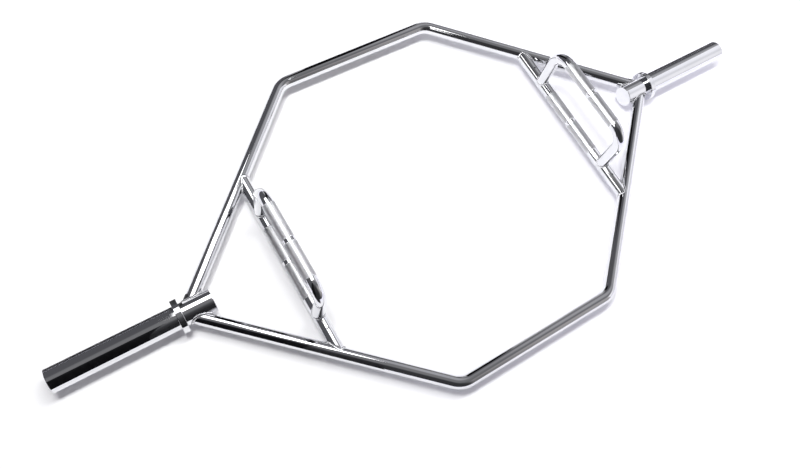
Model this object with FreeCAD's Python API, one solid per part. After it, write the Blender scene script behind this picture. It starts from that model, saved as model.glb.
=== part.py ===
import FreeCAD, Part
import math
import os

V = FreeCAD.Vector

# Driving sizes in mm. X runs along the sleeves, Z is up, the floor is z = 0.
sleeve_dia = 50.0
sleeve_wall = 4.0
load_length = 254.0
hub_length = 64.0
collar_dia = 72.0
collar_width = 13.0
seat_rise = 0.4
cap_thick = 4.0
spigot_length = 8.0
plug_thick = 5.0
plug_recess = 1.5
edge_break = 1.0

frame_dia = 29.0
dia_step = 1.0
tube_wall = 3.0
half_width = 397.0
side_half = 199.0
apex_half = 617.0
collar_offset = 3.0
bend_radius = 50.0

grip_half_gap = 385.0
handle_inset = 93.3
handle_rise = 125.0
handle_bend = 40.0

knurl_rise = 0.2
low_margin = 39.0
high_margin = 1.0
ring_half = 4.3
vent_dia = 4.0
vent_offset = 38.0

hub_bead = 4.0
grip_bead = 3.5
bead_crown = 1.2
bead_band = 4.5

# Sizes that follow from them
sleeve_r = sleeve_dia / 2
bore_r = sleeve_r - sleeve_wall
collar_r = collar_dia / 2
frame_r = frame_dia / 2
grip_r = frame_r - dia_step / 2
handle_r = grip_r - dia_step / 2
axis_z = collar_r
collar_in = apex_half + collar_offset
collar_out = collar_in + collar_width
hub_end = collar_in - hub_length
sleeve_end = collar_out + load_length
leg_run = V(apex_half - side_half, half_width, 0)
leg_tan = half_width / (apex_half - side_half)
grip_cross = (apex_half - grip_half_gap) * leg_tan
handle_half_span = grip_cross - handle_inset
knurl_low = handle_half_span - low_margin
knurl_high = handle_half_span - handle_bend - high_margin
vent_half = handle_half_span + vent_offset

os.makedirs("parts", exist_ok=True)


def save(name, shape):
    solid = shape.removeSplitter()
    if len(solid.Solids) == 1:
        solid = solid.Solids[0]
    solid.exportStep("parts/" + name + ".step")
    print(name, solid.isValid(), len(solid.Solids), round(solid.Volume))


def rod(radius, start, along, length):
    return Part.makeCylinder(radius, length, start, along)


def through(radius, point, along):
    far = 3 * apex_half
    unit = V(along).normalize()
    return rod(radius, point - unit * far / 2, unit, far)


# Straight runs joined by arcs of one bend radius.
def bent_path(points, radius):
    edges = []
    start = points[0]
    for before, corner, after in zip(points, points[1:], points[2:]):
        into = (corner - before).normalize()
        out = (after - corner).normalize()
        turn = into.getAngle(out)
        back = radius * math.tan(turn / 2)
        first = corner - into * back
        last = corner + out * back
        inward = (out - into).normalize()
        middle = corner + inward * (radius / math.cos(turn / 2) - radius)
        edges.append(Part.makeLine(start, first))
        edges.append(Part.Arc(first, middle, last).toShape())
        start = last
    edges.append(Part.makeLine(start, points[-1]))
    return Part.Wire(edges)


def swept(points, bend, radius):
    path = bent_path(points, bend)
    along = (points[1] - points[0]).normalize()
    disc = Part.Face(Part.Wire(Part.makeCircle(radius, points[0], along)))
    return path.makePipe(disc)


# A ring turned about the X axis from (x, r) corners, moved to the sleeve axis.
def turned(corners):
    points = [V(x, 0, r) for x, r in corners]
    face = Part.Face(Part.makePolygon(points + points[:1]))
    ring = face.revolve(V(0, 0, 0), V(1, 0, 0), 360)
    ring.translate(V(0, 0, axis_z))
    return ring


def other_end(shape):
    return shape.mirror(V(0, 0, 0), V(1, 0, 0))


def other_side(shape):
    return shape.mirror(V(0, 0, 0), V(0, 1, 0))


# A bar with two knurled zones and a plain ring between them.
def knurl_bands(radius, x, z, half):
    bands = []
    for low in (-half, ring_half):
        bands.append(rod(radius + knurl_rise, V(x, low, z), V(0, 1, 0), half - ring_half))
    return bands[0].fuse(bands[1])


# A slab of the bead's width about the plane that halves two tube directions.
def slab(point, normal, up, reach):
    normal = V(normal).normalize()
    side = normal.cross(up)
    box = Part.makeBox(2 * reach, 2 * bead_band, 2 * reach)
    box.translate(V(-reach, -bead_band, -reach))
    turn = FreeCAD.Rotation(side, normal, up, "ZYX")
    box.Placement = FreeCAD.Placement(point, turn).multiply(box.Placement)
    return box


# Weld around a branch tube that sits on a main tube of nearly the same size.
def saddle_bead(point, branch, branch_r, main, main_r):
    branch = V(branch).normalize()
    main = V(main).normalize()
    up = branch.cross(main).normalize()
    reach = 4 * main_r
    both = rod(branch_r + grip_bead, point, branch, reach)
    both = both.common(through(main_r + grip_bead, point, main))
    bands = slab(point, branch - main, up, reach).fuse(slab(point, branch + main, up, reach))
    flat = Part.makeBox(2 * reach, 2 * reach, 2 * (main_r + bead_crown))
    flat.translate(V(-reach, -reach, -main_r - bead_crown))
    turn = FreeCAD.Rotation(branch, up.cross(branch), up, "ZXY")
    flat.Placement = FreeCAD.Placement(point, turn).multiply(flat.Placement)
    bead = both.common(bands).common(flat)
    return bead.cut(rod(branch_r, point, branch, reach)).cut(through(main_r, point, main))


# Frame tubes: leg, bend, side, bend, leg, with the ends coped to the hubs.
apex_l = V(-apex_half, 0, axis_z)
apex_r = V(apex_half, 0, axis_z)
corner_l = V(-side_half, half_width, axis_z)
corner_r = V(side_half, half_width, axis_z)
line = [apex_l, corner_l, corner_r, apex_r]
hub_rod = through(sleeve_r, V(0, 0, axis_z), V(1, 0, 0))
outer = swept(line, bend_radius, frame_r).cut(hub_rod)
rear = outer.cut(swept(line, bend_radius, frame_r - tube_wall))
save("rear_frame_tube", rear)
save("front_frame_tube", other_side(rear))

# Sleeve with its hub, collar seat and broken plate edge.
sleeve = turned([
    (hub_end + cap_thick, bore_r),
    (sleeve_end, bore_r),
    (sleeve_end, sleeve_r - edge_break),
    (sleeve_end - edge_break, sleeve_r),
    (collar_out, sleeve_r),
    (collar_out, sleeve_r + seat_rise),
    (collar_in, sleeve_r + seat_rise),
    (collar_in, sleeve_r),
    (hub_end + cap_thick, sleeve_r),
])
save("right_sleeve", sleeve)
save("left_sleeve", other_end(sleeve))

collar = turned([
    (collar_in, sleeve_r + seat_rise),
    (collar_out, sleeve_r + seat_rise),
    (collar_out, collar_r - edge_break),
    (collar_out - edge_break, collar_r),
    (collar_in + edge_break, collar_r),
    (collar_in, collar_r - edge_break),
])
save("right_collar", collar)
save("left_collar", other_end(collar))

cap = turned([
    (hub_end, 0),
    (hub_end + cap_thick + spigot_length, 0),
    (hub_end + cap_thick + spigot_length, bore_r),
    (hub_end + cap_thick, bore_r),
    (hub_end + cap_thick, sleeve_r),
    (hub_end + edge_break, sleeve_r),
    (hub_end, sleeve_r - edge_break),
])
save("right_inner_end_cap", cap)
save("left_inner_end_cap", other_end(cap))

plug_out = sleeve_end - plug_recess
plug = turned([
    (plug_out - plug_thick, 0),
    (plug_out, 0),
    (plug_out, bore_r),
    (plug_out - plug_thick, bore_r),
])
save("right_outer_end_cap", plug)
save("left_outer_end_cap", other_end(plug))

# Low grip: cross tube between the legs, with vent holes near its ends.
leg_rear = V(-leg_run.x, leg_run.y, 0)
leg_front = V(-leg_run.x, -leg_run.y, 0)
start = V(grip_half_gap, -grip_cross, axis_z)
bar = rod(grip_r, start, V(0, 1, 0), 2 * grip_cross)
bar = bar.fuse(knurl_bands(grip_r, grip_half_gap, axis_z, knurl_low))
bar = bar.cut(rod(grip_r - tube_wall, start, V(0, 1, 0), 2 * grip_cross))
for leg in (leg_rear, leg_front):
    bar = bar.cut(through(frame_r, apex_r, leg))
for y in (-vent_half, vent_half):
    bar = bar.cut(rod(vent_dia / 2, V(grip_half_gap, y, axis_z), V(0, 0, 1), 2 * grip_r))
save("right_low_grip", bar)
save("left_low_grip", other_end(bar))

# High handle: bent tube standing on the low grip, feet coped to it.
top_z = axis_z + handle_rise
feet = [
    V(grip_half_gap, -handle_half_span, axis_z),
    V(grip_half_gap, -handle_half_span, top_z),
    V(grip_half_gap, handle_half_span, top_z),
    V(grip_half_gap, handle_half_span, axis_z),
]
hoop = swept(feet, handle_bend, handle_r)
hoop = hoop.fuse(knurl_bands(handle_r, grip_half_gap, top_z, knurl_high))
hoop = hoop.cut(swept(feet, handle_bend, handle_r - tube_wall))
hoop = hoop.cut(through(grip_r, V(grip_half_gap, 0, axis_z), V(0, 1, 0)))
save("right_high_handle", hoop)
save("left_high_handle", other_end(hoop))

# Welds: leg to hub, low grip to leg, handle foot to low grip.
reach = 6 * frame_r
bead = rod(frame_r + hub_bead, apex_r, leg_rear, reach)
bead = bead.common(through(sleeve_r + hub_bead, apex_r, V(1, 0, 0)))
bead = bead.cut(rod(frame_r, apex_r, leg_rear, reach)).cut(hub_rod)
save("right_rear_hub_weld", bead)
save("right_front_hub_weld", other_side(bead))
save("left_rear_hub_weld", other_end(bead))
save("left_front_hub_weld", other_side(other_end(bead)))

joint = V(grip_half_gap, grip_cross, axis_z)
bead = saddle_bead(joint, V(0, -1, 0), grip_r, leg_rear, frame_r)
save("right_rear_grip_weld", bead)
save("right_front_grip_weld", other_side(bead))
save("left_rear_grip_weld", other_end(bead))
save("left_front_grip_weld", other_side(other_end(bead)))

bead = saddle_bead(feet[3], V(0, 0, 1), handle_r, V(0, 1, 0), grip_r)
save("right_rear_foot_weld", bead)
save("right_front_foot_weld", other_side(bead))
save("left_rear_foot_weld", other_end(bead))
save("left_front_foot_weld", other_side(other_end(bead)))
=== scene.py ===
import math

import bmesh
import bpy
import numpy as np
from mathutils import Matrix, Vector


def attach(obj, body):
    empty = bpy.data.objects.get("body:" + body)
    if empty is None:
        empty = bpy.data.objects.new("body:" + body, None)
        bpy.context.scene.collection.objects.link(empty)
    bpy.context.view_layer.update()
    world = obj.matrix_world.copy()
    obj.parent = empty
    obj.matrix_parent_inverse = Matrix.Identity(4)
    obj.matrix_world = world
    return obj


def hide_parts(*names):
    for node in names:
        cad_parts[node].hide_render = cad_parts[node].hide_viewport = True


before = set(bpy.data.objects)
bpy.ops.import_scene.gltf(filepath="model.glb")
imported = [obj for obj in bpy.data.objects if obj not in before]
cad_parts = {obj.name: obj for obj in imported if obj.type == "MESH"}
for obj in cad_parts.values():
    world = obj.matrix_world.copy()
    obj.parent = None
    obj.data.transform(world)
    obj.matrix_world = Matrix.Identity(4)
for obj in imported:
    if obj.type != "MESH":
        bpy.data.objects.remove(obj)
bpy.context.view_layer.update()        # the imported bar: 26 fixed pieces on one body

mm = 0.001
print("frame loaded,", len(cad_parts), "nodes")

# lines that several pieces share, in metres: sleeve axis, hexagon corners, grip line
layout = dict(axisZ=36 * mm, sleeveRadius=25 * mm, apexX=617 * mm, cornerX=199 * mm,
              cornerY=397 * mm, gripX=385 * mm)
ends = dict(left=-1, right=1)       # sign of x
sides = dict(front=-1, rear=1)      # sign of y
xAxis, yAxis, zAxis = np.eye(3)


# a vector, or each row of vectors, divided by its own length
def unit(v):
    return v / np.linalg.norm(v, axis=-1, keepdims=True)


# point of the sleeve axis: (x, 0, axis height)
def onAxis(x):
    return np.array([x, 0, layout["axisZ"]])


# direction of a leg from its hub: hexagon corner minus apex, made one long
def legWay(endSign, sideSign):
    run = endSign * (layout["cornerX"] - layout["apexX"])
    return unit(np.array([run, sideSign * layout["cornerY"], 0]))


# evenly spread angles round a tube: step / count of a full turn
def fullTurn(count):
    return np.arange(count) / count * 2 * np.pi


# vertices and faces become one smooth mesh, turned outwards, crisp where it bends over crease degrees
def putPiece(name, node, slot, finish, points, faces, crease=40):
    corners = np.concatenate([f.ravel() for f in faces])
    counts = np.concatenate([np.full(len(f), f.shape[1]) for f in faces])
    mesh = bpy.data.meshes.new(name)
    mesh.vertices.add(len(points))
    mesh.vertices.foreach_set("co", np.ascontiguousarray(points, np.float32).ravel())
    mesh.loops.add(len(corners))
    mesh.loops.foreach_set("vertex_index", corners.astype(np.int32))
    mesh.polygons.add(len(counts))
    mesh.polygons.foreach_set("loop_start", (np.cumsum(counts) - counts).astype(np.int32))
    mesh.update(calc_edges=True)
    shell = bmesh.new()
    shell.from_mesh(mesh)
    bmesh.ops.recalc_face_normals(shell, faces=shell.faces[:])
    shell.to_mesh(mesh)
    shell.free()
    mesh.shade_smooth()
    mesh.set_sharp_from_angle(angle=math.radians(crease))
    mesh.materials.append(finish)
    piece = bpy.data.objects.new(name, mesh)
    bpy.context.scene.collection.objects.link(piece)
    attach(piece, "root")
    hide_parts(node)
    return piece


# a number for each vertex, kept with the mesh for its finish to read
def markPoints(piece, label, values):
    layer = piece.data.attributes.new(label, "FLOAT", "POINT")
    layer.data.foreach_set("value", np.ascontiguousarray(values, np.float32).ravel())


# quads of a grid: each point joined to its neighbours in the next column and the next row
def gridFaces(rows, cols, wrapRows=True, wrapCols=True):
    i = np.arange(rows if wrapRows else rows - 1)[:, None]
    j = np.arange(cols if wrapCols else cols - 1)[None, :]
    down, across = (i + 1) % rows, (j + 1) % cols
    around = (i * cols + j, i * cols + across, down * cols + across, down * cols + j)
    return np.stack(np.broadcast_arrays(*around), -1)


# arc at a corner: start + radius * (sin(angle) * way in + (1 - cos(angle)) * way to the inside)
def cornerArc(before, corner, after, radius, steps):
    into, out = unit(corner - before), unit(after - corner)
    turn = np.arccos(np.clip(into @ out, -1, 1))
    inside = unit(out - (into @ out) * into)
    start = corner - into * radius * np.tan(turn / 2)
    angle = np.linspace(0, turn, steps)[:, None]
    arc = start + radius * (np.sin(angle) * into + (1 - np.cos(angle)) * inside)
    return arc, np.cos(angle) * into + np.sin(angle) * inside


# an arc with one more point on the straight at each end, which keeps the straight's shading true
def guardedArc(arc, heading, guard):
    points = np.vstack([arc[:1] - heading[:1] * guard, arc, arc[-1:] + heading[-1:] * guard])
    return points, np.vstack([heading[:1], heading, heading[-1:]])


# line with an arc at each inner corner: one pair of centres and headings for each arc
def bentLine(corners, bend, steps, guard):
    threes = zip(corners, corners[1:], corners[2:])
    return [guardedArc(*cornerArc(*three, bend, steps), guard) for three in threes]


# outline whose corners are arcs of their own radius, or sharp where the radius is nought
def softOutline(corners, radii, steps=7, guard=0.12 * mm):
    corners = np.array(corners, float)
    threes = zip(np.roll(corners, 1, 0), corners, np.roll(corners, -1, 0))
    spots = []
    for radius, three in zip(radii, threes):
        arc = three[1][None]
        if radius:
            arc = guardedArc(*cornerArc(*three, radius, steps), guard)[0]
        spots.append(arc)
    return np.vstack(spots)


# outline (x, r) carried once round the sleeve axis: (x, r * sin(turn), axis height + r * cos(turn))
def turned(outline, around, sign):
    turn = fullTurn(around)
    x, r = outline[:, :1], outline[:, 1:]
    place = sign * x, r * np.sin(turn), layout["axisZ"] + r * np.cos(turn)
    return np.stack(np.broadcast_arrays(*place), -1)


# a turned ring: its outline closes on itself
def turnedRing(outline, around, sign):
    points = turned(outline, around, sign)
    return points.reshape(-1, 3), [gridFaces(len(outline), around).reshape(-1, 4)]


# a turned plug: its outline starts and ends on the axis, and each end closes in one pole point
def turnedPlug(outline, around, sign):
    body = turned(outline[1:-1], around, sign)
    rows = len(body)
    poles = turned(outline[[0, -1]], 1, sign).reshape(-1, 3)
    j = np.arange(around)
    nextJ = (j + 1) % around
    base = (rows - 1) * around
    first = np.stack([np.full(around, rows * around), nextJ, j], -1)
    last = np.stack([np.full(around, rows * around + 1), base + j, base + nextJ], -1)
    walls = gridFaces(rows, around, wrapRows=False).reshape(-1, 4)
    return np.vstack([body.reshape(-1, 3), poles]), [walls, first, last]


# ring point = centre + radius * (cos(angle) * side + sin(angle) * up), side square to heading and up
def rings(centres, heading, up, radius, angle):
    side = np.cross(heading, up)
    radius = np.broadcast_to(np.asarray(radius, float), (len(centres), len(angle)))[..., None]
    c, s = np.cos(angle)[None, :, None], np.sin(angle)[None, :, None]
    return centres[:, None] + radius * (c * side[:, None] + s * up)


# way s along a line to a cylinder: the smaller root of |(offset + s * line) across the axis| = radius
def reach(points, along, onLine, axis, radius):
    w = points - onLine
    w = w - (w @ axis)[:, None] * axis
    q = along - (along @ axis) * axis
    a, b, c = q @ q, w @ q, (w * w).sum(-1) - radius ** 2
    return (-b - np.sqrt(b * b - a * c)) / a


# each line along a tube run straight on from a ring, by shares of the way to the mating tube
def copedRun(ring, along, mate, shares=(1,)):
    far = reach(ring, along, *mate)
    return ring[None] + np.asarray(shares)[:, None, None] * far[None, :, None] * along


# both skins of a tube: rows out along the outside and back along the bore, closed both ways
def walledTube(outer, inner):
    grid = np.vstack([outer, inner[::-1]])
    return grid.reshape(-1, 3), gridFaces(len(grid), grid.shape[1])


# one node, its settings, and its inputs set to a value or linked from a socket
def addNode(tree, kind, inputs=None, **settings):
    made = tree.nodes.new(kind)
    for key, value in settings.items():
        setattr(made, key, value)
    for key, value in (inputs or {}).items():
        if isinstance(value, bpy.types.NodeSocket):
            tree.links.new(value, made.inputs[key])
        else:
            made.inputs[key].default_value = value
    return made


# a value carried from one span to another, linearly unless the settings name another curve
def mapRange(tree, value, source, target, **settings):
    names = ("Value", "From Min", "From Max", "To Min", "To Max")
    inputs = dict(zip(names, (value, *source, *target)))
    return addNode(tree, "ShaderNodeMapRange", inputs, **settings).outputs["Result"]


# first * (1 - factor) + second * factor, for colours or for plain numbers
def blend(tree, kind, factor, first, second):
    inputs = {"Factor": factor, "A": first, "B": second}
    return addNode(tree, "ShaderNodeMix", inputs, data_type=kind).outputs["Result"]


# noise over the given coordinates
def noise(tree, where, scale, detail):
    inputs = {"Vector": where, "Scale": scale, "Detail": detail}
    return addNode(tree, "ShaderNodeTexNoise", inputs).outputs["Fac"]


# noise spread linearly, so that the usual spread of its values runs from low to high
def noiseBetween(tree, where, scale, detail, low, high, spread=(0.3, 0.7)):
    return mapRange(tree, noise(tree, where, scale, detail), spread, (low, high))


# normals tilted by the slope of height * depth, on top of normals that are tilted already
def bumped(tree, height, depth, under=None):
    inputs = {"Height": height, "Distance": depth, "Strength": 1.0}
    if under is not None:
        inputs["Normal"] = under
    return addNode(tree, "ShaderNodeBump", inputs).outputs["Normal"]


octaves = dict(tone=3, haze=6, waves=1, marks=4)      # detail of each noise


# bright plating: tone and gloss drift with noise, slow waves and fine polishing marks tilt the normals;
# on a knurled piece the gloss goes over to the knurl's own, and the grooves are painted darker, as
# painted shade
def plating(name, look):
    finish = bpy.data.materials.new(name)
    finish.use_nodes = True
    tree = finish.node_tree
    shader = tree.nodes["Principled BSDF"]
    shader.inputs["Metallic"].default_value = 1.0
    where = addNode(tree, "ShaderNodeTexCoord").outputs["Object"]
    tone = noiseBetween(tree, where, look["toneScale"], octaves["tone"], 0, 1)
    colour = blend(tree, "RGBA", tone, (*look["deep"], 1), (*look["bright"], 1))
    gloss = noiseBetween(tree, where, look["hazeScale"], octaves["haze"], look["gloss"], look["haze"])
    if "knurl" in look:
        knurled = addNode(tree, "ShaderNodeAttribute", attribute_name="knurled").outputs["Fac"]
        groove = addNode(tree, "ShaderNodeAttribute", attribute_name="groove").outputs["Fac"]
        gloss = blend(tree, "FLOAT", knurled, gloss, look["knurl"])
        # painted shade: the colour goes darker with each point's depth into the knurl's grooves
        colour = blend(tree, "RGBA", groove, colour, (*look["grooveShade"], 1))
    waves = noise(tree, where, look["waveScale"], octaves["waves"])
    grained = addNode(tree, "ShaderNodeMapping", {"Vector": where, "Scale": look["grain"]})
    marks = noise(tree, grained.outputs["Vector"], 1, octaves["marks"])
    normal = bumped(tree, marks, look["mark"], bumped(tree, waves, look["wave"]))
    tree.links.new(colour, shader.inputs["Base Color"])
    tree.links.new(gloss, shader.inputs["Roughness"])
    tree.links.new(normal, shader.inputs["Normal"])
    return finish


# roughness runs from gloss to haze; grain is marks per metre along x, y and z; mark and wave are depths
brightPair = dict(deep=(0.74, 0.745, 0.765), bright=(0.82, 0.82, 0.84))
tubeChrome = plating("tubeChrome", dict(
    brightPair, toneScale=9, hazeScale=34, gloss=0.03, haze=0.07,
    grain=(160, 160, 160), mark=0.004 * mm, waveScale=16, wave=0.25 * mm))
sleeveChrome = plating("sleeveChrome", dict(
    brightPair, toneScale=7, hazeScale=22, gloss=0.03, haze=0.075,
    grain=(700, 14, 14), mark=0.004 * mm, waveScale=10, wave=0.3 * mm))
capChrome = plating("capChrome", dict(
    brightPair, toneScale=14, hazeScale=60, gloss=0.06, haze=0.14,
    grain=(40, 420, 420), mark=0.006 * mm, waveScale=30, wave=0.05 * mm))
# grooveShade is the darker colour painted into the knurl's grooves as painted shade
gripChrome = plating("gripChrome", dict(
    brightPair, toneScale=12, hazeScale=40, gloss=0.03, haze=0.08, knurl=0.3, grooveShade=(0.6, 0.6, 0.62),
    grain=(180, 180, 180), mark=0.004 * mm, waveScale=18, wave=0.2 * mm))
weldChrome = plating("weldChrome", dict(
    deep=(0.66, 0.66, 0.68), bright=(0.80, 0.80, 0.82), toneScale=90,
    hazeScale=220, gloss=0.07, haze=0.2,
    grain=(900, 900, 900), mark=0.03 * mm, waveScale=320, wave=0.06 * mm))
print("finishes ready")

# frame tubes: leg, bend, side, bend, leg, each end coped to the hub
frameTube = dict(radius=14.5 * mm, bore=11.5 * mm, bend=50 * mm, around=144, bendSteps=34,
                 guard=2 * mm, runs=(0.5, 1))
hubMate = (onAxis(0), xAxis, layout["sleeveRadius"])     # point, direction and radius


# rings along apex, corner, corner, apex, with an arc at each corner; the end rings run on to the hubs
def frameTubeMesh(side):
    size = frameTube
    apex, flip = onAxis(layout["apexX"]), np.array([-1, 1, 1])
    corner = np.array([layout["cornerX"], side * layout["cornerY"], layout["axisZ"]])
    line = [apex * flip, corner * flip, corner, apex]
    arcs = bentLine(line, size["bend"], size["bendSteps"], size["guard"])
    centres, heading = (np.vstack(part) for part in zip(*arcs))
    skins = []
    for radius in (size["radius"], size["bore"]):
        middle = rings(centres, heading, zAxis, radius, fullTurn(size["around"]))
        first = copedRun(middle[0], -heading[0], hubMate, size["runs"][::-1])
        last = copedRun(middle[-1], heading[-1], hubMate, size["runs"])
        skins.append(np.vstack([first, middle, last]))
    points, faces = walledTube(*skins)
    return points, [faces.reshape(-1, 4)]


for side, sign in sides.items():
    putPiece(side + "FrameTube", side + "_frame_tube", "chrome_tube", tubeChrome, *frameTubeMesh(sign))
print("frame tubes ready")

# sleeves with their hubs, collars and end caps, all turned about the sleeve axis
sleeve = dict(radius=layout["sleeveRadius"], bore=21 * mm, hubEnd=556 * mm, endX=887 * mm,
              seat=0.4 * mm, edge=1.0 * mm, boreEdge=0.4 * mm, around=192)
collar = dict(radius=36 * mm, inner=620 * mm, outer=633 * mm, edge=0.9 * mm, around=224)
innerCap = dict(thick=4 * mm, spigot=8 * mm, edge=1.0 * mm)
outerCap = dict(recess=1.5 * mm, thick=5 * mm, edge=0.5 * mm)


# half section (x, r): out along the bore, round the plate end, back over the collar's seat to the hub
def sleeveOutline():
    s, start = sleeve, sleeve["hubEnd"] + innerCap["thick"]
    high = s["radius"] + s["seat"]
    corners = [(start, s["bore"]), (s["endX"], s["bore"]), (s["endX"], s["radius"]),
               (collar["outer"], s["radius"]), (collar["outer"], high),
               (collar["inner"], high), (collar["inner"], s["radius"]), (start, s["radius"])]
    return softOutline(corners, (0, s["boreEdge"], s["edge"], 0, 0, 0, 0, 0))


# half section (x, r): a rectangle on the seat, both outer corners rounded
def collarOutline():
    bore = sleeve["radius"] + sleeve["seat"]
    corners = [(collar["inner"], bore), (collar["outer"], bore),
               (collar["outer"], collar["radius"]), (collar["inner"], collar["radius"])]
    return softOutline(corners, (0, 0, collar["edge"], collar["edge"]))


# half section (x, r): a disc on the hub's end with a rounded rim, then the spigot inside the bore
def innerCapOutline():
    face, back = sleeve["hubEnd"], sleeve["hubEnd"] + innerCap["thick"]
    deep = back + innerCap["spigot"]
    corners = [(face, 0), (face, sleeve["radius"]), (back, sleeve["radius"]),
               (back, sleeve["bore"]), (deep, sleeve["bore"]), (deep, 0)]
    return softOutline(corners, (0, innerCap["edge"], 0, 0, 0, 0))


# half section (x, r): a disc in the bore, rounded at its face
def outerCapOutline():
    face = sleeve["endX"] - outerCap["recess"]
    back = face - outerCap["thick"]
    corners = [(back, 0), (back, sleeve["bore"]), (face, sleeve["bore"]), (face, 0)]
    return softOutline(corners, (0, 0, outerCap["edge"], 0))


around = sleeve["around"]
turnedPieces = (
    ("Sleeve", "_sleeve", "chrome_sleeve", sleeveChrome, turnedRing, sleeveOutline(), around),
    ("Collar", "_collar", "chrome_sleeve", sleeveChrome, turnedRing, collarOutline(), collar["around"]),
    ("InnerCap", "_inner_end_cap", "chrome_cap", capChrome, turnedPlug, innerCapOutline(), around),
    ("OuterCap", "_outer_end_cap", "chrome_cap", capChrome, turnedPlug, outerCapOutline(), around))
for end, sign in ends.items():
    for label, node, slot, finish, maker, outline, count in turnedPieces:
        putPiece(end + label, end + node, slot, finish, *maker(outline, count, sign))
print("sleeves, collars and caps ready")

# diamond knurl of all four grips: two crossing sets of V grooves, flat-topped diamonds between them
knurl = dict(rise=0.2 * mm, deep=0.18 * mm, ring=4.3 * mm, crest=3.0, lead=0.3 * mm, slack=0.01 * mm,
             cells=6, crease=24)


# crest height, 0 to 1: the smaller of two triangle waves that wind both ways round the bar, cut flat
def diamonds(angle, along, starts, pitch):
    a, b = starts * angle / (2 * np.pi), along / pitch
    waves = [2 * np.abs((w % 1) - 0.5) for w in (a + b, a - b)]
    return np.clip(knurl["crest"] * np.minimum(*waves), 0, 1)


# rows of a knurled half, evenly from its inner to its outer edge, with a plain row outside each edge
def knurlRows(size):
    rows = np.linspace(knurl["ring"], size["half"], knurl["cells"] * size["pitches"] + 1)
    return np.concatenate([[rows[0] - knurl["lead"]], rows, [rows[-1] + knurl["lead"]]])


# radius at each row and angle: low + (high - low) * crest height inside the knurl, plain outside it
def knurlRadius(size, along, angle):
    pitch = (size["half"] - knurl["ring"]) / size["pitches"]
    away = np.abs(along)[:, None]
    inside = (away > knurl["ring"] + knurl["slack"]) & (away < size["half"] - knurl["slack"])
    crest = diamonds(angle[None, :], away - knurl["ring"], size["starts"], pitch)
    low, high = size["radius"] - knurl["deep"], size["radius"] + knurl["rise"]
    radius = np.where(inside, low + (high - low) * crest, size["radius"])
    # depth into the grooves, 0 to 1, which the grip plating darkens as painted shade
    groove = np.where(inside, 1 - crest, 0)
    return radius, np.broadcast_to(inside, groove.shape).astype(float), groove


# knurl marks of all vertices: the outer skin's rows with plain rows at both ends, nought for the rest
def vertexMarks(field, plainRows, count):
    outer = np.pad(field, ((plainRows, plainRows), (0, 0))).ravel()
    return np.concatenate([outer, np.zeros(count - len(outer))])


# low grips: straight tubes between the legs, coped to both, with a vent hole near each end
lowGrip = dict(radius=14 * mm, bore=11 * mm, half=88.04 * mm, starts=36, pitches=20, endRow=175 * mm,
               vent=2 * mm, ventY=165.04 * mm, window=8, windowLead=2, ventShares=(0.4, 0.75, 1.0))


# strip of rings that turns a square window into a round hole through both skins:
# square * (1 - share) + circle * share, laid on each skin, outer rings first and the bore's backwards
def ventStrip(points, outerWindow, innerWindow, centre):
    size = lowGrip
    shares = np.array(size["ventShares"])[:, None, None]
    strips = []
    for window, radius in ((outerWindow, size["radius"]), (innerWindow, size["bore"])):
        square = points[window][:, :2] - centre[:2]
        circle = size["vent"] * unit(square)
        spread = square[None] * (1 - shares) + circle[None] * shares
        height = layout["axisZ"] + np.sqrt(radius ** 2 - spread[..., 0] ** 2)
        strips.append(np.concatenate([spread + centre[:2], height[..., None]], -1))
    rows = np.vstack([strips[0], strips[1][::-1]])
    count = len(outerWindow)
    index = len(points) + np.arange(len(rows) * count).reshape(len(rows), count)
    index = np.vstack([outerWindow[None], index, innerWindow[None]])
    faces = gridFaces(len(index), count, wrapRows=False).reshape(-1, 4)
    return rows.reshape(-1, 3), index.ravel()[faces]


# rim of a square window in a grid, in order round it
def windowRim(top, bottom, left, right, cols):
    across, down = np.arange(left, right), np.arange(top, bottom)
    return np.concatenate([top * cols + across, down * cols + right,
                           bottom * cols + across[::-1] + 1, (down[::-1] + 1) * cols + left])


# both vents: a square window of quads is left out of each skin, and a strip joins the two windows
def cutVents(points, faces, outerRows, innerRows, onGrip):
    window, lead = lowGrip["window"], lowGrip["windowLead"]
    span, cols = 2 * window, faces.shape[1]
    left, right = cols // 4 - window, cols // 4 + window      # a quarter turn round faces up
    keep = np.ones(faces.shape[:2], bool)
    strips = []
    # first rows of the windows at -y and at +y; the bore's rows are stored backwards
    outerTops = (lead, outerRows - 1 - lead - span)
    innerTops = (outerRows + innerRows - 1 - lead - span, outerRows + lead)
    for sign, *tops in zip((-1, 1), outerTops, innerTops):
        centre = onGrip + sign * lowGrip["ventY"] * yAxis
        rims = []
        orders = []
        for top in tops:
            keep[top:top + span, left:right] = False
            rims.append(windowRim(top, top + span, left, right, cols))
            x, y = (points[rims[-1]] - centre)[:, :2].T
            orders.append(np.argsort(np.arctan2(x, y)))
        # the bore's rim runs the other way along y, so it is put in the order of the outer rim
        inner = np.empty_like(rims[1])
        inner[orders[0]] = rims[1][orders[1]]
        extra, strip = ventStrip(points, rims[0], inner, centre)
        points = np.vstack([points, extra])
        strips.append(strip)
    return points, [faces[keep]] + strips


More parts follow.
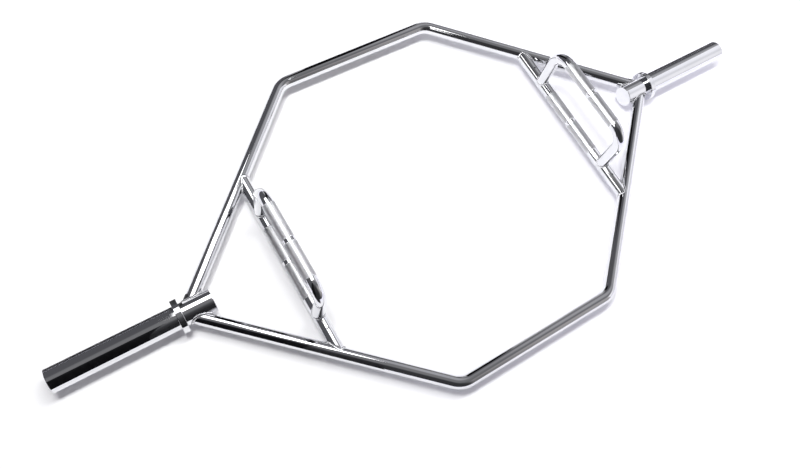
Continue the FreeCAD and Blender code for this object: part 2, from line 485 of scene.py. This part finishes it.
# rings along y at the knurl's radius, their end rings run on to the legs, both vents cut through
def lowGripMesh(end):
    size = lowGrip
    cols = knurl["cells"] * size["starts"]
    angle = fullTurn(cols)
    step = 2 * np.pi * size["radius"] / cols
    ventRows = size["ventY"] + step * np.arange(-size["window"], size["window"] + 1)
    innerHalf = np.concatenate([ventRows, [size["endRow"]]])
    outerHalf = np.concatenate([knurlRows(size), innerHalf])
    outerY, innerY = (np.concatenate([-half[::-1], half]) for half in (outerHalf, innerHalf))
    apex, onGrip = onAxis(end * layout["apexX"]), onAxis(end * layout["gripX"])
    radius, knurled, groove = knurlRadius(size, outerY, angle)
    skins = []
    for rows, r in ((outerY, radius), (innerY, size["bore"])):
        centres = onGrip + rows[:, None] * yAxis
        middle = rings(centres, np.broadcast_to(yAxis, centres.shape), zAxis, r, angle)
        runs = []
        for sign, ring in ((-1, middle[0]), (1, middle[-1])):
            legMate = (apex, legWay(end, sign), frameTube["radius"])
            runs.append(copedRun(ring, sign * yAxis, legMate))
        skins.append(np.vstack([runs[0], middle, runs[1]]))
    points, faces = walledTube(*skins)
    points, faces = cutVents(points, faces, len(skins[0]), len(skins[1]), onGrip)
    return points, faces, [vertexMarks(field, 1, len(points)) for field in (knurled, groove)]


# high handles: bent hoops that stand on the low grips, knurled along the top
highHandle = dict(radius=13.5 * mm, bore=10.5 * mm, half=86.04 * mm, starts=34, pitches=20,
                  footY=127.04 * mm, rise=125 * mm, bend=40 * mm, bendSteps=40, guard=0.6 * mm)


# rings along arc, top, arc at the knurl's radius, their end rings run straight down to the low grip
def highHandleMesh(end):
    size = highHandle
    angle = fullTurn(knurl["cells"] * size["starts"])
    onGrip = onAxis(end * layout["gripX"])
    corners = [onGrip + y * size["footY"] * yAxis + z * size["rise"] * zAxis
               for y, z in ((-1, 0), (-1, 1), (1, 1), (1, 0))]
    front, rear = bentLine(corners, size["bend"], size["bendSteps"], size["guard"])
    half = knurlRows(size)[:-1]
    along = np.concatenate([-half[::-1], half])
    centres = onGrip + size["rise"] * zAxis + along[:, None] * yAxis
    top = (centres, np.broadcast_to(yAxis, centres.shape))
    radius, knurled, groove = knurlRadius(size, along, angle)
    bendRows = len(front[0])
    plain = np.full((bendRows, len(angle)), size["radius"])
    outer = ((front, top, rear), np.vstack([plain, radius, plain]))
    inner = ((front, rear), size["bore"])
    gripMate = (onGrip, yAxis, lowGrip["radius"])
    skins = []
    for parts, r in (outer, inner):
        centres, heading = (np.vstack(part) for part in zip(*parts))
        middle = rings(centres, heading, xAxis, r, angle)
        first, last = (copedRun(ring, -zAxis, gripMate) for ring in (middle[0], middle[-1]))
        skins.append(np.vstack([first, middle, last]))
    points, faces = walledTube(*skins)
    marks = [vertexMarks(field, bendRows + 1, len(points)) for field in (knurled, groove)]
    return points, [faces.reshape(-1, 4)], marks


gripKinds = (("LowGrip", "_low_grip", lowGripMesh), ("HighHandle", "_high_handle", highHandleMesh))
for end, sign in ends.items():
    for label, node, maker in gripKinds:
        points, faces, marks = maker(sign)
        piece = putPiece(end + label, end + node, "chrome_grip", gripChrome, points, faces,
                         crease=knurl["crease"])
        markPoints(piece, "knurled", marks[0])
        markPoints(piece, "groove", marks[1])
        print(piece.name, "triangles", 2 * sum(len(f) for f in faces))

# weld beads: an oval section carried along the seam of two tubes, with even ripples
bead = dict(seam=432, section=20, sink=1.2 * mm, crown=0.4 * mm, toe=0.2 * mm, start=0.2,
            pitch=2.4 * mm, ripple=0.16, arch=0.7, level=0.6, crownPower=3)
beadLegs = dict(hub=3.4 * mm, grip=3.2 * mm, foot=3.0 * mm)


# toes lie one leg away from the seam on both tubes; the section is an oval across the toes, raised by
# the crown; ripple: swell = 1 + ripple * (|sin(pi * way / pitch)| to the arch - level)
def beadMesh(onBranch, branch, up, branchRadius, mate, leg):
    angle = fullTurn(bead["seam"])
    side = np.cross(branch, up)
    out = np.cos(angle)[:, None] * side + np.sin(angle)[:, None] * up
    start = onBranch + branchRadius * out
    seam = start - reach(start, -branch, *mate)[:, None] * branch
    offset = seam - mate[0]
    mainOut = unit(offset - (offset @ mate[1])[:, None] * mate[1])
    tangent = unit(np.roll(seam, -1, 0) - np.roll(seam, 1, 0))
    alongBranch, alongMain = np.cross(tangent, out), np.cross(tangent, mainOut)
    alongBranch *= np.sign(alongBranch @ branch)[:, None]
    alongMain *= np.sign((alongMain * out).sum(-1))[:, None]
    middle, across = unit(alongBranch + alongMain), unit(alongBranch - alongMain)
    deep, wide = (middle * alongBranch).sum(-1), (across * alongBranch).sum(-1)
    steps = np.linalg.norm(np.roll(seam, -1, 0) - seam, axis=-1)
    way = np.cumsum(steps) - steps
    phase = way / steps.sum() * round(steps.sum() / bead["pitch"])
    swell = 1 + bead["ripple"] * (np.abs(np.sin(np.pi * phase)) ** bead["arch"] - bead["level"])
    swollenLeg = leg * swell
    turn = fullTurn(bead["section"])
    centre = seam + middle * (swollenLeg * deep - bead["sink"])[:, None]
    wideAxis = across * (swollenLeg * wide + bead["toe"])[:, None]
    highAxis = middle * (bead["sink"] + bead["crown"] * swell ** bead["crownPower"])[:, None]
    c, s = np.cos(turn)[None, :, None], np.sin(turn)[None, :, None]
    grid = centre[:, None] + c * wideAxis[:, None] + s * highAxis[:, None]
    return grid.reshape(-1, 3), [gridFaces(bead["seam"], bead["section"]).reshape(-1, 4)]


for end, x in ends.items():
    apex, onGrip = onAxis(x * layout["apexX"]), onAxis(x * layout["gripX"])
    gripMate = (onGrip, yAxis, lowGrip["radius"])
    for side, y in sides.items():
        leg = legWay(x, y)
        legMate = (apex, leg, frameTube["radius"])
        foot = onGrip + y * highHandle["footY"] * yAxis + highHandle["rise"] * zAxis
        # point on the branch tube, its way off the seam, a direction square to it, its radius, its mate
        seams = dict(hub=(apex + bead["start"] * leg, leg, zAxis, frameTube["radius"], hubMate),
                     grip=(onGrip, -y * yAxis, zAxis, lowGrip["radius"], legMate),
                     foot=(foot, zAxis, xAxis, highHandle["radius"], gripMate))
        for kind, seam in seams.items():
            name = end + side.title() + kind.title() + "Weld"
            node = end + "_" + side + "_" + kind + "_weld"
            putPiece(name, node, "chrome_weld", weldChrome, *beadMesh(*seam, beadLegs[kind]))
print("welds ready")

# camera, from the photograph's viewing angle; the image is 800 wide, and focal is in its pixels
shot = dict(focal=683.88, width=800, azimuth=52.106, elevation=66.706, roll=22.659, far=1.49876,
            target=(-0.14271, -0.05492, 0.036), sensor=36, clip=(0.05, 60))
az, el, roll = (math.radians(shot[k]) for k in ("azimuth", "elevation", "roll"))
back = Vector((-math.sin(az) * math.cos(el), -math.cos(az) * math.cos(el), math.sin(el)))
right = Vector((0, 0, 1)).cross(back).normalized()
above = back.cross(right)
across = right * math.cos(roll) + above * math.sin(roll)
upward = above * math.cos(roll) - right * math.sin(roll)
lens = bpy.data.cameras.new("shotLens")
lens.sensor_width = shot["sensor"]
lens.lens = shot["focal"] / shot["width"] * shot["sensor"]
lens.clip_start, lens.clip_end = shot["clip"]
camera = bpy.data.objects.new("shot", lens)
place = Matrix((across, upward, back)).transposed().to_4x4()
place.translation = Vector(shot["target"]) + back * shot["far"]
camera.matrix_world = place
bpy.context.scene.collection.objects.link(camera)
bpy.context.scene.camera = camera

# white floor: lit paper, lifted to white for the camera and for what mirrors it, so its shadows stay;
# the lift grows from low to high with the distance from foot, as the light falls off
floor = dict(half=9.0, lines=9, paper=(0.95, 0.95, 0.95), tint=(0.82, 0.8, 1.0), foot=(-0.45, 0.3, 0),
             near=0.5, low=0.055, far=3.0, high=0.95)
lines = np.linspace(-floor["half"], floor["half"], floor["lines"])
flat = np.meshgrid(lines, lines)
spots = np.stack([*flat, np.zeros_like(flat[0])], -1).reshape(-1, 3)
quads = gridFaces(floor["lines"], floor["lines"], False, False).reshape(-1, 4)
paper = bpy.data.meshes.new("floorPaper")
paper.from_pydata(spots.tolist(), [], quads.tolist())
floorPiece = bpy.data.objects.new("floorPaper", paper)
bpy.context.scene.collection.objects.link(floorPiece)
sheet = bpy.data.materials.new("floorPaper")
sheet.use_nodes = True
tree = sheet.node_tree
tree.nodes.clear()
where = addNode(tree, "ShaderNodeTexCoord").outputs["Object"]
away = addNode(tree, "ShaderNodeVectorMath", {0: where, 1: floor["foot"]}, operation="DISTANCE")
lift = mapRange(tree, away.outputs["Value"], (floor["near"], floor["far"]),
                (floor["low"], floor["high"]))
path = addNode(tree, "ShaderNodeLightPath").outputs
seen = path["Is Camera Ray"]
for kind in ("Is Glossy Ray", "Is Transmission Ray"):
    either = addNode(tree, "ShaderNodeMath", {0: seen, 1: path[kind]}, operation="MAXIMUM")
    seen = either.outputs["Value"]
power = addNode(tree, "ShaderNodeMath", {0: lift, 1: seen}, operation="MULTIPLY").outputs["Value"]
matte = addNode(tree, "ShaderNodeBsdfDiffuse", {"Color": (*floor["paper"], 1)})
glow = addNode(tree, "ShaderNodeEmission", {"Color": (*floor["tint"], 1), "Strength": power})
both = addNode(tree, "ShaderNodeAddShader", {0: matte.outputs["BSDF"], 1: glow.outputs["Emission"]})
addNode(tree, "ShaderNodeOutputMaterial", {"Surface": both.outputs["Shader"]})
paper.materials.append(sheet)

# light panels: centre, point they face, width and height, brightness of their face; key and second
# light the floor and do not show in the plating, the cards show only there, and the wall does both
usual = dict(colour=(1, 1, 1), lights=True, shows=True)
panels = dict(
    key=dict(centre=(0, 0.45, 2.5), facing=(0, 0.45, 0), size=(2.0, 0.5), bright=15.2, shows=False),
    second=dict(centre=(-0.65, 0.35, 2.5), facing=(-0.65, 0.35, 0), size=(0.5, 0.4), bright=32.7,
                shows=False),
    hubCard=dict(centre=(-0.45, 0.38, 0.7), facing=(-0.45, 0.38, 0), size=(0.4, 0.52), bright=2.6,
                 lights=False),
    gripCard=dict(centre=(-0.3, 0.1, 0.7), facing=(-0.3, 0.1, 0), size=(0.42, 0.4), bright=2.6,
                  lights=False),
    farCard=dict(centre=(-0.125, 0.24, 1.4), facing=(-0.125, 0.24, 0), size=(0.65, 0.32), bright=2.6,
                 lights=False),
    leanCard=dict(centre=(-0.152, 0.21, 0.983), facing=(0.763, 0.21, 0.58), size=(0.32, 1.125),
                  bright=3.8, lights=False),
    wall=dict(centre=(2.1, -0.9, 0.975), facing=(0, -0.9, 0.975), size=(3.0, 1.95), bright=0.72,
              colour=(0.95, 0.95, 1)))
for name, own in panels.items():
    panel = {**usual, **own}
    lamp = bpy.data.lights.new(name, "AREA")
    lamp.shape = "RECTANGLE"
    lamp.size, lamp.size_y = panel["size"]
    lamp.energy = panel["bright"] * math.pi * panel["size"][0] * panel["size"][1]
    lamp.color = panel["colour"]
    holder = bpy.data.objects.new(name, lamp)
    holder.location = panel["centre"]
    aim = Vector(panel["facing"]) - Vector(panel["centre"])
    holder.rotation_mode = "QUATERNION"
    holder.rotation_quaternion = aim.to_track_quat("-Z", "Y")
    holder.visible_camera = False
    holder.visible_diffuse, holder.visible_glossy = panel["lights"], panel["shows"]
    bpy.context.scene.collection.objects.link(holder)

# upright flags that show only in the plating: black and dark for the dark strips along the tubes and
# the left sleeve, grey for the dark rim along the far side of both sleeves
felt = dict(roughness=0.9, shine=0.05, black=(0.006, 0.006, 0.007), dark=(0.026, 0.026, 0.028),
            grey=(0.17, 0.17, 0.175))
flags = dict(
    back=dict(left=0.06, right=0.52, top=1.16, y=1.04, shade="black"),
    sleeve=dict(left=-1.6, right=-0.72, top=2.0, y=-0.45, shade="black"),
    leg=dict(left=-0.72, right=-0.45, top=0.4, y=-0.45, shade="dark"),
    leftRim=dict(left=-0.92, right=-0.64, top=0.055, y=0.06, shade="grey"),
    leftCollar=dict(left=-0.64, right=-0.612, top=0.076, y=0.06, shade="grey"),
    rightRim=dict(left=0.645, right=1.0, top=0.055, y=0.06, shade="grey"))
for name, flag in flags.items():
    dull = bpy.data.materials.new(name + "Flag")
    dull.use_nodes = True
    inputs = dull.node_tree.nodes["Principled BSDF"].inputs
    inputs["Base Color"].default_value = (*felt[flag["shade"]], 1)
    inputs["Roughness"].default_value = felt["roughness"]
    inputs["Specular IOR Level"].default_value = felt["shine"]
    left, right, top, y = (flag[key] for key in ("left", "right", "top", "y"))
    corners = [(left, y, 0), (right, y, 0), (right, y, top), (left, y, top)]
    cloth = bpy.data.meshes.new(name + "Flag")
    cloth.from_pydata(corners, [], [(0, 1, 2, 3)])
    cloth.materials.append(dull)
    flagPiece = bpy.data.objects.new(name + "Flag", cloth)
    flagPiece.visible_camera = flagPiece.visible_diffuse = flagPiece.visible_shadow = False
    bpy.context.scene.collection.objects.link(flagPiece)

# dim studio: an even dark grey with darker or paler patches toward some sides, in degrees:
# compass from +y to +x, height up from the floor, core where a patch is full and edge where it ends
studio = dict(base=(0.098, 0.098, 0.107), patches=(
    dict(compass=115, height=55, core=28, edge=50, colour=(0.17, 0.17, 0.18)),
    dict(compass=152, height=28, core=14, edge=32, colour=(0.42, 0.41, 0.41)),
    dict(compass=70, height=42, core=8, edge=34, colour=(0.42, 0.42, 0.44)),
    dict(compass=27, height=12, core=6, edge=18, colour=(0.45, 0.45, 0.46)),
    dict(compass=205, height=25, core=25, edge=55, colour=(0.04, 0.04, 0.043)),
    dict(compass=0, height=88, core=6, edge=26, colour=(0.2, 0.2, 0.205))))
world = bpy.data.worlds.new("studio")
bpy.context.scene.world = world
world.use_nodes = True
tree = world.node_tree
gaze = addNode(tree, "ShaderNodeTexCoord").outputs["Generated"]
colour = (*studio["base"], 1)
for patch in studio["patches"]:
    angles = (math.radians(patch[key]) for key in ("compass", "height", "core", "edge"))
    compass, height, core, edge = angles
    level = math.cos(height)
    aim = Vector((math.sin(compass) * level, math.cos(compass) * level, math.sin(height)))
    lean = addNode(tree, "ShaderNodeVectorMath", {0: gaze, 1: aim}, operation="DOT_PRODUCT")
    share = mapRange(tree, lean.outputs["Value"], (math.cos(edge), math.cos(core)), (0, 1),
                     interpolation_type="SMOOTHSTEP")
    colour = blend(tree, "RGBA", share, colour, (*patch["colour"], 1))
tree.links.new(colour, tree.nodes["Background"].inputs["Color"])
bpy.context.scene.view_settings.view_transform = "Standard"
print("stage and light ready")
